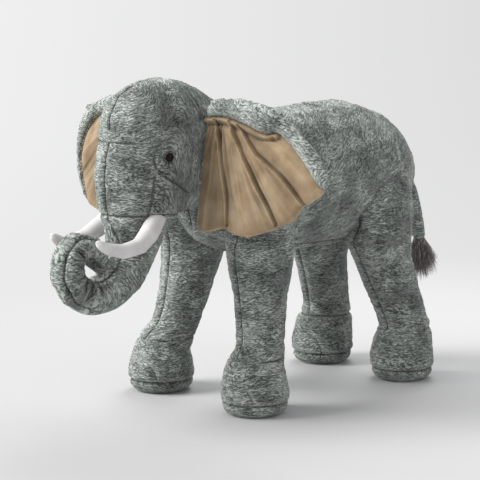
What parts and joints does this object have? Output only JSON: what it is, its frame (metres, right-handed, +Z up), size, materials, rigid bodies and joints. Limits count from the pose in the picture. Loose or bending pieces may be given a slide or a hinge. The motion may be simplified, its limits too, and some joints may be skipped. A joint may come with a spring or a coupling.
{
  "type": "stuffed elephant",
  "caption": "Large standing stuffed elephant in wrinkled grey plush, with tan velour-lined ears, white velour tusks and a curled trunk",
  "frame": {"origin": "bottom centre of the box, on the floor under the belly", "axes": "+X towards the elephant's left side, +Y towards its tail, +Z up; it faces -Y"},
  "size_m": [0.7966, 1.102, 0.6896],
  "materials": {
    "grey_plush": "matte",
    "tan_velour": "matte",
    "ivory_velour": "matte",
    "tuft_hair": "matte",
    "polyester_stuffing": "matte",
    "eye_plastic": "gloss",
    "washer_plastic": "satin",
    "sole_board": "matte",
    "frame_steel": "satin"
  },
  "bodies": {
    "root": {"torso_cover_left": "grey_plush", "torso_cover_right": "grey_plush", "belly_panel": "grey_plush", "torso_stuffing": "polyester_stuffing", "front_left_leg_cover": "grey_plush", "front_left_foot_cover": "grey_plush", "front_left_sole_panel": "grey_plush", "front_left_sole_board": "sole_board", "front_left_leg_stuffing": "polyester_stuffing", "front_right_leg_cover": "grey_plush", "front_right_foot_cover": "grey_plush", "front_right_sole_panel": "grey_plush", "front_right_sole_board": "sole_board", "front_right_leg_stuffing": "polyester_stuffing", "hind_left_leg_cover": "grey_plush", "hind_left_foot_cover": "grey_plush", "hind_left_sole_panel": "grey_plush", "hind_left_sole_board": "sole_board", "hind_left_leg_stuffing": "polyester_stuffing", "hind_right_leg_cover": "grey_plush", "hind_right_foot_cover": "grey_plush", "hind_right_sole_panel": "grey_plush", "hind_right_sole_board": "sole_board", "hind_right_leg_stuffing": "polyester_stuffing", "front_leg_frame": "frame_steel", "hind_leg_frame": "frame_steel", "spine_rod": "frame_steel", "head_cover_left": "grey_plush", "head_cover_right": "grey_plush", "face_panel_left": "grey_plush", "face_panel_right": "grey_plush", "jaw_panel": "grey_plush", "head_stuffing": "polyester_stuffing", "tusk_cover_left": "ivory_velour", "tusk_stuffing_left": "polyester_stuffing", "eye_left": "eye_plastic", "eye_washer_left": "washer_plastic", "tusk_cover_right": "ivory_velour", "tusk_stuffing_right": "polyester_stuffing", "eye_right": "eye_plastic", "eye_washer_right": "washer_plastic"},
    "trunk": {"trunk_cover_left": "grey_plush", "trunk_cover_right": "grey_plush", "trunk_band": "grey_plush", "trunk_stuffing": "polyester_stuffing"},
    "ear_left": {"ear_back_left": "grey_plush", "ear_lining_left": "tan_velour"},
    "ear_right": {"ear_back_right": "grey_plush", "ear_lining_right": "tan_velour"},
    "tail_root": {"tail_tab": "grey_plush"},
    "tail": {"tail_cover": "grey_plush", "tail_stuffing": "polyester_stuffing", "tail_tuft": "tuft_hair"}
  },
  "joints": [
    {"name": "trunk_flex", "type": "hinge", "parent": "root", "child": "trunk", "pos_m": [0, -0.3407, 0.424], "axis": [1, 0, 0], "range_deg": [-7, 7], "stiffness_Nm_per_rad": 6},
    {"name": "ear_left_fold", "type": "hinge", "parent": "root", "child": "ear_left", "pos_m": [0.088, -0.2567, 0.382], "axis": [0, 0.1478, 0.989], "range_deg": [-15, 35], "stiffness_Nm_per_rad": 1.5},
    {"name": "ear_right_fold", "type": "hinge", "parent": "root", "child": "ear_right", "pos_m": [-0.088, -0.2567, 0.382], "axis": [0, -0.1478, -0.989], "range_deg": [-15, 35], "stiffness_Nm_per_rad": 1.5},
    {"name": "tail_swing", "type": "hinge", "parent": "root", "child": "tail_root", "pos_m": [0, 0.4413, 0.44], "axis": [0, 0, 1], "range_deg": [-30, 30], "stiffness_Nm_per_rad": 0.8},
    {"name": "tail_lift", "type": "hinge", "parent": "tail_root", "child": "tail", "pos_m": [0, 0.4473, 0.444], "axis": [1, 0, 0], "range_deg": [0, 45], "stiffness_Nm_per_rad": 0.8}
  ]
}
